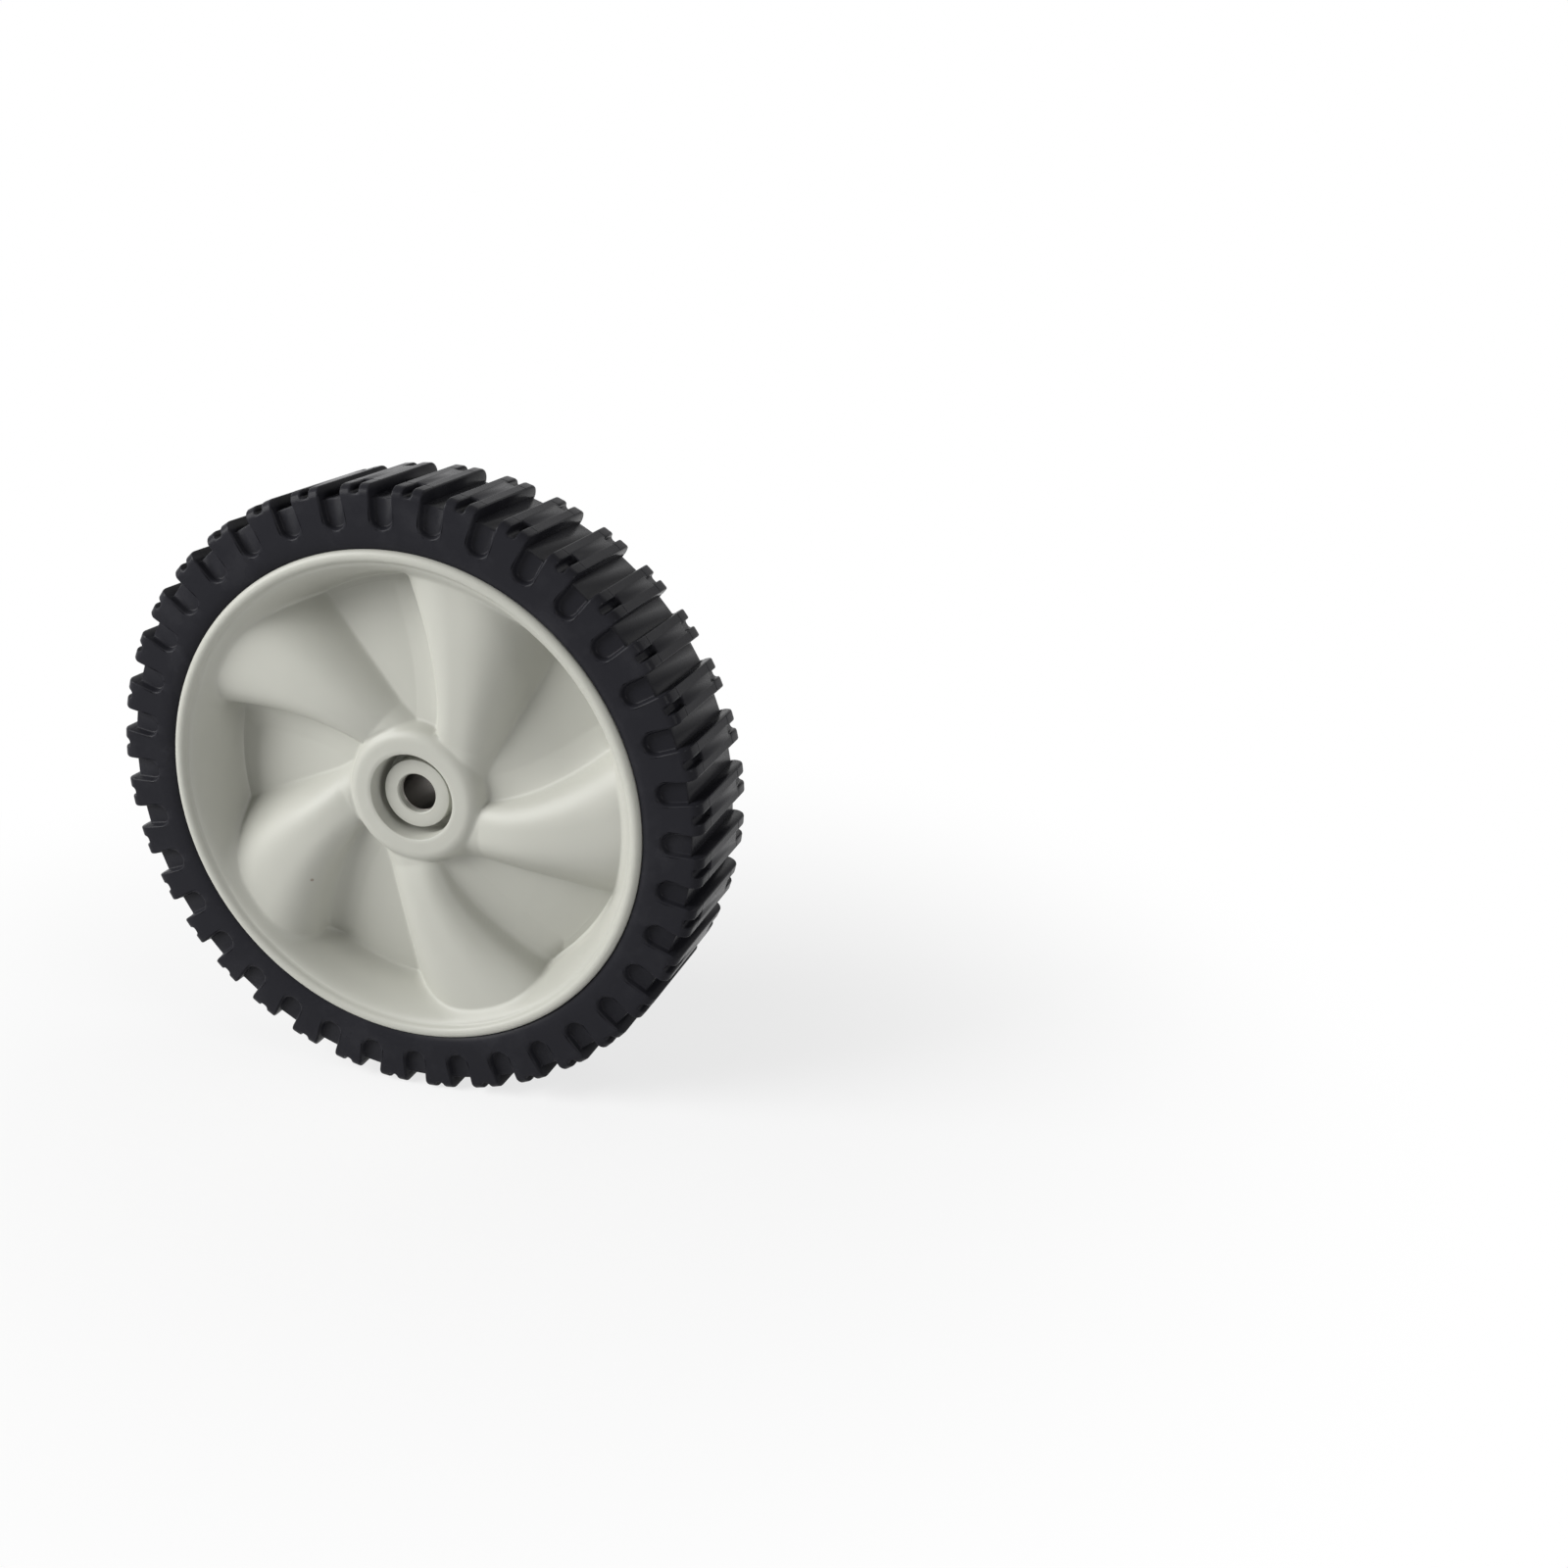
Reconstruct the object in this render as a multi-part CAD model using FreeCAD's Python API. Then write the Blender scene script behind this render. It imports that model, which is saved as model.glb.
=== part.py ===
import FreeCAD, Part
import math
import os
from FreeCAD import Vector

# Lawn mower wheel. Millimetres, wheel axis along Y, outer face towards -Y, origin at the wheel's centre.
# Depths are measured from the front bead plane towards the rear.

# Overall sizes
TYRE_DIA = 203.2         # over the lugs
TYRE_HEIGHT = 19.6       # from its seat on the rim to the top of the lugs
RIM_WIDTH = 42.0         # from the front bead plane to the rear one

# Tyre
SIDEWALL_BULGE = 0.7     # how far each sidewall swells past its bead plane
SHOULDER_BEVEL = 2.6
BEAD_WIDTH = 3.0         # slope from the rim to the sidewall
LUG_COUNT = 36
GROOVE_ANGLE = 8.6       # first groove, from +X towards +Z
GROOVE_WIDTH = 7.0       # between two lugs
GROOVE_DEPTH = 4.0       # in the tread
SLOT_DEPTH = 2.2         # the same groove in the sidewall
SLOT_LENGTH = 13.2       # from the tread down the sidewall
NOTCH_WIDTH = 2.8        # short notch that splits each lug at its shoulder
NOTCH_DEPTH = 2.7
NOTCH_LENGTH = 9.0       # across the tread from the sidewall
NOTCH_CORNER = 0.8
KEY_WIDTH = 10.0         # rib inside the tyre that sits in the rim's groove
KEY_HEIGHT = 1.2

# Rim and dished face
WALL = 2.5               # wall of the face, spokes and hub front
RIM_WALL = 3.5
RIM_REAR_RISE = 2.0      # rim's rear edge past the rear bead plane
LIP_WIDTH = 4.0          # rounded front lip
LIP_RISE = 1.0
FLOOR_DEPTH = 14.0       # panels between the spokes, at the hub
FLOOR_FALL = 6.5         # how much deeper they are at their outer edge
DISH_WIDTH = 13.5        # from the outer edge of those panels to the tyre's seat
TROUGH_DROP = 1.5        # trough outside the panels, below them
TROUGH_WIDTH = 2.0

# Spokes
SPOKE_COUNT = 5
SPOKE_ANGLE = 66.0       # first spoke's line, from +X towards +Z
SPOKE_CW_EDGE = -12.0    # dome's clockwise edge, off the spoke's line
SPOKE_CCW_EDGE = -0.6    # the other edge at the hub
SPOKE_CCW_SPREAD = 33.0  # how far that edge swings out to the rim
SPOKE_CREST_DEPTH = 3.8  # dome's top near the rim
SPOKE_ROOT_DROP = 4.6    # dome's top at the hub, below that
SPOKE_CW_FOOT = (8.0, 13.0)   # run of the clockwise cove on to the panel, at the hub and at the rim
SPOKE_CCW_FOOT = (10.0, 24.0)
SPOKE_END_FOOT = 0.4     # share of that run outside the panels
SPOKE_FADE = 4           # power by which the dome's top settles outside the hub
SPOKE_STATIONS = 5       # sections along a spoke
# Half the section of a spoke: shares of the dome's half width or of the cove's run, and of the rise.
SPOKE_DOME = [(0.3, 0.975), (0.62, 0.885), (0.85, 0.755)]
SPOKE_COVE = [(0.0, 0.58), (0.1, 0.34), (0.45, 0.12), (1.0, 0.0)]

# Hub
HUB_DIA = 46.6           # hub wall outside
HUB_WALL = 3.0
HUB_FACE_DEPTH = 7.1
HUB_EDGE_RADIUS = 4.5    # rounded front edge
HUB_FLARE = 3.5          # foot of the hub on the panels
HUB_WALL_SETBACK = 6.6   # hub wall's rear end inside the rear bead plane
RECESS_DIA = 28.6        # round recess in the hub's face
RECESS_DEPTH = 19.0
BOSS_DIA = 23.0          # inner boss in that recess
BOSS_DEPTH = 11.1
REAR_BOSS_DIA = 27.8
REAR_BOSS_RISE = 3.1     # past the rear bead plane
HUB_RIB_COUNT = 10
HUB_RIB_WALL = 1.4
HUB_RIB_SETBACK = 0.8    # below the hub wall's end

# Ring walls on the rear of the face
MID_RING_DIA = 80.2
MID_RING_WALL = 2.2
MID_RING_DEPTH = 20.2
EDGE_RING_GAP = 2.87     # from its outside to the gear's tooth tips
EDGE_RING_WALL = 2.4
EDGE_RING_DEPTH = 23.8

# Internal drive gear
GEAR_MODULE = 2.54
GEAR_PRESSURE_ANGLE = 20.0
GEAR_DEDENDUM = 1.25     # root depth in modules
GEAR_GAP = 5.9           # between the gear ring and the rim wall, before the teeth are made a whole number
GEAR_BACKING = 2.1       # ring wall outside the tooth roots
GEAR_SETBACK = 5.4       # tooth faces inside the rear bead plane
GEAR_RING_RISE = 1.8     # ring's rear edge past the rear bead plane
GAP_RIB_COUNT = 20       # ribs between the gear ring and the rim
GAP_RIB_WALL = 1.3
GAP_RIB_SETBACK = 1.5    # below the rear bead plane

# Bush and bore
AXLE_DIA = 12.7          # bore of the bush
BUSH_WALL = 1.5875
BUSH_PROUD = 0.2         # past the rear boss
FRONT_BORE_CLEARANCE = 0.25  # plastic bore in front of the bush, on the radius
FRONT_BORE_LENGTH = 2.5

CUTTER_REACH = 1.0       # how far a cutter runs past what it cuts

FRONT_Y = -RIM_WIDTH / 2
TYRE_RADIUS = TYRE_DIA / 2
RIM_RADIUS = TYRE_RADIUS - TYRE_HEIGHT
RIM_INNER_RADIUS = RIM_RADIUS - RIM_WALL
HUB_RADIUS = HUB_DIA / 2
HUB_FOOT = HUB_RADIUS + HUB_FLARE
FLOOR_RADIUS = RIM_RADIUS - DISH_WIDTH
BORE_RADIUS = AXLE_DIA / 2
BUSH_RADIUS = BORE_RADIUS + BUSH_WALL
BUSH_FRONT = BOSS_DEPTH + FRONT_BORE_LENGTH
REAR_BOSS_END = RIM_WIDTH + REAR_BOSS_RISE
GEAR_ROOM = RIM_INNER_RADIUS - GEAR_GAP - GEAR_BACKING
GEAR_TEETH = round(2 * (GEAR_ROOM / GEAR_MODULE - GEAR_DEDENDUM))
GEAR_PITCH_RADIUS = GEAR_MODULE * GEAR_TEETH / 2
GEAR_TIP_RADIUS = GEAR_PITCH_RADIUS - GEAR_MODULE
GEAR_ROOT_RADIUS = GEAR_PITCH_RADIUS + GEAR_DEDENDUM * GEAR_MODULE
RING_RADIUS = GEAR_ROOT_RADIUS + GEAR_BACKING
FLOOR_EDGE_DEPTH = FLOOR_DEPTH + FLOOR_FALL
TROUGH_DEPTH = FLOOR_EDGE_DEPTH + TROUGH_DROP
LIP_INNER_RADIUS = RIM_RADIUS - LIP_WIDTH
PAST_REAR = 1.5 * RIM_WIDTH  # depth that lies behind everything

Y_AXIS = Vector(0, 1, 0)
ORIGIN = Vector(0, 0, 0)


def at(radius, depth):
    return Vector(radius, FRONT_Y + depth, 0)


def revolve(edges):
    return Part.Face(Part.Wire(edges)).revolve(ORIGIN, Y_AXIS, 360)


def outline(points):
    return Part.makePolygon([at(*p) for p in points] + [at(*points[0])]).Edges


def annulus(inner, outer, front, rear):
    return revolve(outline([(inner, front), (outer, front), (outer, rear), (inner, rear)]))


def arc(a, middle, b):
    return Part.Arc(a, middle, b).toShape()


def turned(shape, degrees):
    # Positive turns run from +X towards +Z.
    copy = shape.copy()
    copy.rotate(ORIGIN, Y_AXIS, -degrees)
    return copy


def ring_of(shape, count, first=0.0):
    return [turned(shape, first + 360.0 * i / count) for i in range(count)]


# Tyre

def tyre_skin(crown_inset, side_inset, shoulder):
    # The tyre's section, with crown and sidewalls set in by the given depths and bevelled shoulders.
    crown = TYRE_RADIUS - crown_inset
    side = side_inset - SIDEWALL_BULGE
    front = [(RIM_RADIUS, max(0.0, side)), (RIM_RADIUS + BEAD_WIDTH, side)]
    front += [(crown - shoulder, side), (crown, side + shoulder)] if shoulder else [(crown, side)]
    rear = [(radius, RIM_WIDTH - depth) for radius, depth in reversed(front)]
    return revolve(outline(front + rear))


def slot(width, bottom, corner, front, rear):
    # A radial slot along +X that is open at the tread, with its bottom corners cut off.
    half = width / 2
    top = TYRE_RADIUS + width
    side = [(top, half), (bottom + corner, half), (bottom, half - corner)]
    points = side + [(x, -z) for x, z in reversed(side)]
    corners = [Vector(x, FRONT_Y + front, z) for x, z in points]
    return Part.Face(Part.makePolygon(corners + corners[:1])).extrude(Vector(0, rear - front, 0))


def make_tyre():
    carcass = tyre_skin(GROOVE_DEPTH, SLOT_DEPTH, 0.0)
    past = SIDEWALL_BULGE + CUTTER_REACH
    groove_end = GROOVE_WIDTH / 2 * (2 - math.sqrt(2))
    groove = slot(GROOVE_WIDTH, TYRE_RADIUS - SLOT_LENGTH, groove_end, -past, RIM_WIDTH + past).cut(carcass)
    notch_floor = TYRE_RADIUS - NOTCH_DEPTH
    front_notch = slot(NOTCH_WIDTH, notch_floor, NOTCH_CORNER, -past, NOTCH_LENGTH)
    rear_notch = slot(NOTCH_WIDTH, notch_floor, NOTCH_CORNER, RIM_WIDTH - NOTCH_LENGTH, RIM_WIDTH + past)
    lug_angle = GROOVE_ANGLE + 180.0 / LUG_COUNT
    tools = ring_of(groove, LUG_COUNT, GROOVE_ANGLE)
    tools += ring_of(front_notch, LUG_COUNT, lug_angle) + ring_of(rear_notch, LUG_COUNT, lug_angle)
    middle = RIM_WIDTH / 2
    key = annulus(RIM_RADIUS - KEY_HEIGHT, RIM_RADIUS, middle - KEY_WIDTH / 2, middle + KEY_WIDTH / 2)
    return tyre_skin(0.0, 0.0, SHOULDER_BEVEL).cut(tools).fuse(key).removeSplitter()


# Spokes

def floor_depth(radius):
    return FLOOR_DEPTH + FLOOR_FALL * (radius - HUB_FOOT) / (FLOOR_RADIUS - HUB_FOOT)


def spoke_section(along, foot, wall, thinning):
    # Section of a spoke square to its line, set in by the wall and closed behind everything.
    station = max(0.0, (along - HUB_RADIUS) / (RIM_INNER_RADIUS - HUB_RADIUS))
    fade = (1 - station) ** SPOKE_FADE
    ccw_edge = SPOKE_CCW_EDGE + SPOKE_CCW_SPREAD * (station + 2 * station ** 2) / 3
    middle, half = (ccw_edge + SPOKE_CW_EDGE) / 2, (ccw_edge - SPOKE_CW_EDGE) / 2
    crest = SPOKE_CREST_DEPTH + SPOKE_ROOT_DROP * fade
    cw_foot, ccw_foot = [foot * (root + (rim - root) * station) for root, rim in (SPOKE_CW_FOOT, SPOKE_CCW_FOOT)]
    ridge = [(SPOKE_CW_EDGE - run * cw_foot, share) for run, share in reversed(SPOKE_COVE)]
    ridge += [(middle - run * half, share) for run, share in reversed(SPOKE_DOME)]
    ridge += [(middle, 1.0)] + [(middle + run * half, share) for run, share in SPOKE_DOME]
    ridge += [(ccw_edge + run * ccw_foot, share) for run, share in SPOKE_COVE]
    row = []
    for across, share in ridge[::thinning]:
        floor = floor_depth(math.hypot(along, across))
        row.append(Vector(along, FRONT_Y + floor - share * (floor - crest), across))
    below = TROUGH_DROP + WALL
    row = [row[0] + Vector(0, below, -WALL)] + row + [row[-1] + Vector(0, below, WALL)]
    front = set_in(row, wall)
    behind = [Vector(along, FRONT_Y + PAST_REAR, point.z) for point in (front[-1], front[0])]
    return Part.makePolygon(front + behind + front[:1])


def set_in(row, wall):
    # Moves a row of points towards the rear, square to the line that they make.
    moved = []
    for i, point in enumerate(row):
        run = row[min(i + 1, len(row) - 1)] - row[max(i - 1, 0)]
        moved.append(point + Vector(0, run.z, -run.y).normalize() * wall)
    return moved


def make_spokes(start, end, foot=1.0, wall=0.0, thinning=1):
    step = (end - start) / (SPOKE_STATIONS - 1)
    sections = [spoke_section(start + i * step, foot, wall, thinning) for i in range(SPOKE_STATIONS)]
    return ring_of(Part.makeLoft(sections, True), SPOKE_COUNT, SPOKE_ANGLE)


# Wheel body

def make_envelope():
    # Everything in front of and inside the wheel body's outer surface, with no hollows.
    edge = HUB_EDGE_RADIUS * (1 - math.sqrt(0.5))
    bevel = LIP_WIDTH / 3
    front = [
        (0, HUB_FACE_DEPTH), (HUB_RADIUS - HUB_EDGE_RADIUS, HUB_FACE_DEPTH),
        (HUB_RADIUS - edge, HUB_FACE_DEPTH + edge), (HUB_RADIUS, HUB_FACE_DEPTH + HUB_EDGE_RADIUS),
        (HUB_FOOT, FLOOR_DEPTH), (FLOOR_RADIUS, FLOOR_EDGE_DEPTH), (FLOOR_RADIUS, TROUGH_DEPTH),
        (FLOOR_RADIUS + TROUGH_WIDTH, TROUGH_DEPTH), (LIP_INNER_RADIUS, LIP_RISE),
        (LIP_INNER_RADIUS + bevel, -LIP_RISE), (RIM_RADIUS - bevel, -LIP_RISE),
    ]
    rim_end = RIM_WIDTH + RIM_REAR_RISE
    boss = REAR_BOSS_DIA / 2
    middle = RIM_WIDTH / 2
    seat = RIM_RADIUS - KEY_HEIGHT
    rear = [
        (RIM_RADIUS, 0), (RIM_RADIUS, middle - KEY_WIDTH / 2), (seat, middle - KEY_WIDTH / 2),
        (seat, middle + KEY_WIDTH / 2), (RIM_RADIUS, middle + KEY_WIDTH / 2), (RIM_RADIUS, rim_end),
        (boss, rim_end), (boss, REAR_BOSS_END), (0, REAR_BOSS_END),
    ]
    body = revolve(outline(front + rear))
    start = HUB_RADIUS - HUB_WALL - WALL
    inside_panels = annulus(0, FLOOR_RADIUS, SPOKE_CREST_DEPTH - LIP_RISE, RIM_WIDTH)
    outside_panels = annulus(FLOOR_RADIUS, RIM_INNER_RADIUS, SPOKE_CREST_DEPTH - LIP_RISE, RIM_WIDTH)
    spokes = [spoke.common(inside_panels) for spoke in make_spokes(start, RIM_RADIUS)]
    spokes += [spoke.common(outside_panels) for spoke in make_spokes(start, RIM_RADIUS, SPOKE_END_FOOT)]
    return body.fuse(spokes)


def make_hollow():
    # The open space behind the face, from the rear boss to the rim wall, with the backs of the spokes.
    slope = (TROUGH_DEPTH - LIP_RISE) / (LIP_INNER_RADIUS - FLOOR_RADIUS - TROUGH_WIDTH)
    dish_wall = WALL * math.sqrt(1 + slope ** 2)
    trough_back = TROUGH_DEPTH + WALL
    turn = FLOOR_RADIUS + TROUGH_WIDTH + (dish_wall - WALL) / slope
    boss, recess = REAR_BOSS_DIA / 2, RECESS_DIA / 2 + WALL
    behind_recess = RECESS_DEPTH + WALL
    behind_face = HUB_FACE_DEPTH + WALL
    inside_hub = HUB_RADIUS - HUB_WALL
    hollow = revolve(outline([
        (boss, PAST_REAR), (boss, behind_recess), (recess, behind_recess), (recess, behind_face),
        (inside_hub, behind_face), (HUB_RADIUS, FLOOR_DEPTH + WALL), (FLOOR_RADIUS - WALL, FLOOR_EDGE_DEPTH + WALL),
        (FLOOR_RADIUS - WALL, trough_back), (turn, trough_back),
        (RIM_INNER_RADIUS, LIP_RISE + dish_wall - slope * (RIM_INNER_RADIUS - LIP_INNER_RADIUS)),
        (RIM_INNER_RADIUS, PAST_REAR),
    ]))
    between = annulus(HUB_RADIUS, RIM_INNER_RADIUS, 0, PAST_REAR)
    pockets = make_spokes(HUB_FOOT + WALL, RIM_RADIUS, SPOKE_END_FOOT, WALL, 2)
    return hollow.fuse([pocket.common(between) for pocket in pockets])


def tooth_half_angle(radius):
    # Half the angle of one internal tooth at a radius, from the involute of the pressure angle.
    pressure = math.radians(GEAR_PRESSURE_ANGLE)
    local = math.acos(min(1.0, GEAR_PITCH_RADIUS * math.cos(pressure) / radius))
    return math.pi / (2 * GEAR_TEETH) + (math.tan(local) - local) - (math.tan(pressure) - pressure)


def make_gear_teeth(front, rear):
    def flank(radius, side, turn):
        angle = turn + side * tooth_half_angle(radius)
        return Vector(radius * math.cos(angle), FRONT_Y + front, radius * math.sin(angle))

    def on_circle(radius, angle):
        return Vector(radius * math.cos(angle), FRONT_Y + front, radius * math.sin(angle))

    pitch = 2 * math.pi / GEAR_TEETH
    radii = (GEAR_ROOT_RADIUS, GEAR_PITCH_RADIUS, GEAR_TIP_RADIUS)
    edges = []
    for i in range(GEAR_TEETH):
        turn = i * pitch
        up = [flank(r, -1, turn) for r in radii]
        down = [flank(r, 1, turn) for r in reversed(radii)]
        edges.append(arc(*up))
        edges.append(arc(up[2], on_circle(GEAR_TIP_RADIUS, turn), down[0]))
        edges.append(arc(*down))
        edges.append(arc(down[2], on_circle(GEAR_ROOT_RADIUS, turn + pitch / 2), flank(radii[0], -1, turn + pitch)))
    outside = Part.Wire(Part.makeCircle(RING_RADIUS, Vector(0, FRONT_Y + front, 0), Y_AXIS))
    face = Part.Face([outside, Part.Wire(edges)])
    return face.extrude(Vector(0, rear - front, 0))


def rib(wall, inner, outer, front, rear):
    shape = Part.makeBox(outer - inner, rear - front, wall)
    shape.translate(Vector(inner, FRONT_Y + front, -wall / 2))
    return shape


def make_rear_features():
    # Gear, ring walls, hub wall and ribs, which stand in the hollow behind the face.
    gear_rear = RIM_WIDTH - GEAR_SETBACK
    ring_rear = RIM_WIDTH + GEAR_RING_RISE
    hub_rear = RIM_WIDTH - HUB_WALL_SETBACK
    inside_hub = HUB_RADIUS - HUB_WALL
    mid = MID_RING_DIA / 2
    edge_ring = GEAR_TIP_RADIUS - EDGE_RING_GAP
    features = [
        make_gear_teeth(TROUGH_DEPTH, gear_rear),
        annulus(GEAR_ROOT_RADIUS, RING_RADIUS, 0, ring_rear),
        annulus(mid - MID_RING_WALL, mid, 0, MID_RING_DEPTH),
        annulus(edge_ring - EDGE_RING_WALL, edge_ring, 0, EDGE_RING_DEPTH),
        annulus(inside_hub, HUB_RADIUS, HUB_FACE_DEPTH, hub_rear),
    ]
    hub_rib = rib(HUB_RIB_WALL, BUSH_RADIUS + WALL, inside_hub + HUB_WALL / 2, HUB_FACE_DEPTH,
                  hub_rear - HUB_RIB_SETBACK)
    gap_rib = rib(GAP_RIB_WALL, RING_RADIUS - GEAR_BACKING / 2, RIM_INNER_RADIUS + RIM_WALL / 2, 0,
                  RIM_WIDTH - GAP_RIB_SETBACK)
    features += ring_of(hub_rib, HUB_RIB_COUNT) + ring_of(gap_rib, GAP_RIB_COUNT)
    return features[0].fuse(features[1:])


def make_wheel_body():
    recess = annulus(BOSS_DIA / 2, RECESS_DIA / 2, 0, RECESS_DEPTH)
    boss_top = annulus(0, BOSS_DIA / 2, 0, BOSS_DEPTH)
    front_bore = annulus(0, BORE_RADIUS + FRONT_BORE_CLEARANCE, 0, BUSH_FRONT)
    bush_seat = annulus(0, BUSH_RADIUS, BUSH_FRONT, PAST_REAR)
    space = make_hollow().cut(make_rear_features())
    return make_envelope().cut([space, recess, boss_top, front_bore, bush_seat])


def make_sleeve_bush():
    return annulus(BORE_RADIUS, BUSH_RADIUS, BUSH_FRONT, REAR_BOSS_END + BUSH_PROUD)


os.makedirs("parts", exist_ok=True)
pieces = {"tyre": make_tyre, "wheel_body": make_wheel_body, "sleeve_bush": make_sleeve_bush}
for name, make in pieces.items():
    shape = make()
    print(name, shape.isValid(), len(shape.Solids), round(shape.Volume), len(shape.Faces))
    shape.exportStep("parts/" + name + ".step")
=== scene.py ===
import math
import bpy
import bmesh
from mathutils import Matrix, Vector


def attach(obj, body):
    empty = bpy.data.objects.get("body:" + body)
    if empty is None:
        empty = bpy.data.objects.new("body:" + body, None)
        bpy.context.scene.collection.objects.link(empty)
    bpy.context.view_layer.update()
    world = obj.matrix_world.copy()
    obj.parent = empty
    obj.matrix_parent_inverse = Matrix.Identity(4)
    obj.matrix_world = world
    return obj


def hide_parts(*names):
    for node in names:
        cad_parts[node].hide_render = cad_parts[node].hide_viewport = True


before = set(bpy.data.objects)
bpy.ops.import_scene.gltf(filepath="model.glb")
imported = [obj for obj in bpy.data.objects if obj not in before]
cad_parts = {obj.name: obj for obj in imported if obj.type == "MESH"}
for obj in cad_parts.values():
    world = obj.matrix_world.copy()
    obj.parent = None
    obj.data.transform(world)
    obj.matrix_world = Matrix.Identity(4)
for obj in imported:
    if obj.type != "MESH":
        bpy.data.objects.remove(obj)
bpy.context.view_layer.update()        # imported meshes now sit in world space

scene = bpy.context.scene
scene.view_settings.view_transform = "Standard"
millimetre = 0.001
frontPlane = -21.0       # front bead plane on the wheel's axis, in millimetres
fullTurn = 2 * math.pi
nearly = 0.01            # places that differ by less count as one, in millimetres
weld = 0.002             # vertices closer than this are merged
print("frame loaded", sorted(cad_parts))


# helpers that several pieces share

def ringPoint(radius, depth):
    return (radius, frontPlane + depth, 0.0)


def spinLoop(bm, corners, steps, angle=fullTurn):
    # corners are (radius, depth, cuts on the way to the next corner)
    verts = []
    for here, there in zip(corners, corners[1:] + corners[:1]):
        count = here[2] + 1
        for i in range(count):
            radius, depth = [a + (b - a) * (i / count) for a, b in zip(here[:2], there[:2])]
            verts.append(bm.verts.new(ringPoint(radius, depth)))
    edges = [bm.edges.new(pair) for pair in zip(verts, verts[1:] + verts[:1])]
    bmesh.ops.spin(bm, geom=verts + edges, cent=(0, 0, 0), axis=(0, 1, 0), angle=angle, steps=steps,
                   use_merge=angle == fullTurn)


def spinCopies(bm, count):
    # repeats one sector round the axle
    bmesh.ops.spin(bm, geom=bm.verts[:] + bm.edges[:] + bm.faces[:], cent=(0, 0, 0), axis=(0, 1, 0),
                   angle=fullTurn - fullTurn / count, steps=count - 1, use_duplicate=True)


def sideFaces(bm, end):
    # a sector's two end faces, where the next copy joins on
    sides = []
    for face in bm.faces:
        angles = [math.atan2(v.co.z, v.co.x) for v in face.verts]
        if all(abs(abs(a) - end) < 3.5e-5 for a in angles) and max(angles) - min(angles) < end:
            sides.append(face)
    return sides


def arcCorners(centre, radius, start, end, count):
    corners = []
    for i in range(count + 1):
        a = math.radians(start + (end - start) * i / count)
        corners.append((centre[0] + radius * math.cos(a), centre[1] + radius * math.sin(a), 0))
    return corners


def edgeCorners(radius, depth, out, back, steps):
    # steps are (radius, depth, cuts) away from a corner; out and back are 1 or -1
    return [(radius + out * x, depth + back * y, cuts) for x, y, cuts in steps]


def turnVerts(bm, verts, degrees):
    bmesh.ops.rotate(bm, cent=(0, 0, 0), matrix=Matrix.Rotation(math.radians(-degrees), 3, "Y"), verts=verts)


def bevelEdges(bm, edges, offset, segments, clamp=False):
    bmesh.ops.bevel(bm, geom=edges, offset=offset, segments=segments, profile=0.5, affect="EDGES", material=-1,
                    clamp_overlap=clamp)


def finishMesh(bm, name, material, sharpAngle, node):
    bmesh.ops.remove_doubles(bm, verts=bm.verts[:], dist=weld)
    bmesh.ops.recalc_face_normals(bm, faces=bm.faces[:])
    for face in bm.faces:
        face.smooth = True
    for edge in bm.edges:
        if len(edge.link_faces) == 2:
            edge.smooth = edge.calc_face_angle(0.0) < math.radians(sharpAngle)
    bmesh.ops.scale(bm, vec=(millimetre,) * 3, verts=bm.verts[:])
    mesh = bpy.data.meshes.new(name)
    bm.to_mesh(mesh)
    bm.free()
    piece = bpy.data.objects.new(name, mesh)
    scene.collection.objects.link(piece)
    mesh.materials.append(material)
    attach(piece, "root")
    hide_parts(node)
    print(name, "made,", sum(len(p.vertices) - 2 for p in mesh.polygons), "triangles")
    return piece


def newMaterial(name):
    material = bpy.data.materials.new(name)
    material.use_nodes = True
    nodes = material.node_tree.nodes
    return material, nodes, material.node_tree.links, nodes["Principled BSDF"]


def addNode(nodes, kind, **values):
    node = nodes.new(kind)
    for key, value in values.items():
        if key in node.inputs:
            node.inputs[key].default_value = value
        else:
            setattr(node, key, value)
    return node


def addSheen(nodes, links, source, shader, look):
    sheen = addNode(nodes, "ShaderNodeMapRange")
    sheen.inputs["To Min"].default_value, sheen.inputs["To Max"].default_value = look["roughness"]
    links.new(source, sheen.inputs["Value"])
    links.new(sheen.outputs["Result"], shader.inputs["Roughness"])


def addGrain(nodes, links, source, shader, look):
    bump = addNode(nodes, "ShaderNodeBump", Strength=look["grain"], Distance=look["grainHeight"])
    links.new(source, bump.inputs["Height"])
    links.new(bump.outputs["Normal"], shader.inputs["Normal"])


# satin grey plastic of the wheel body

plasticLook = {
    "colour": (0.445, 0.445, 0.402, 1), "shade": (0.415, 0.417, 0.373, 1), "cloudScale": 38.0,
    "speck": (0.16, 0.10, 0.07, 1), "speckCells": 52.0, "speckSize": 0.032, "speckFew": 0.955, "speckShare": 0.55,
    "specular": 0.25, "roughness": (0.36, 0.48),
    "grain": 0.035, "grainScale": 1400.0, "grainHeight": 0.0002,
}


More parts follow.
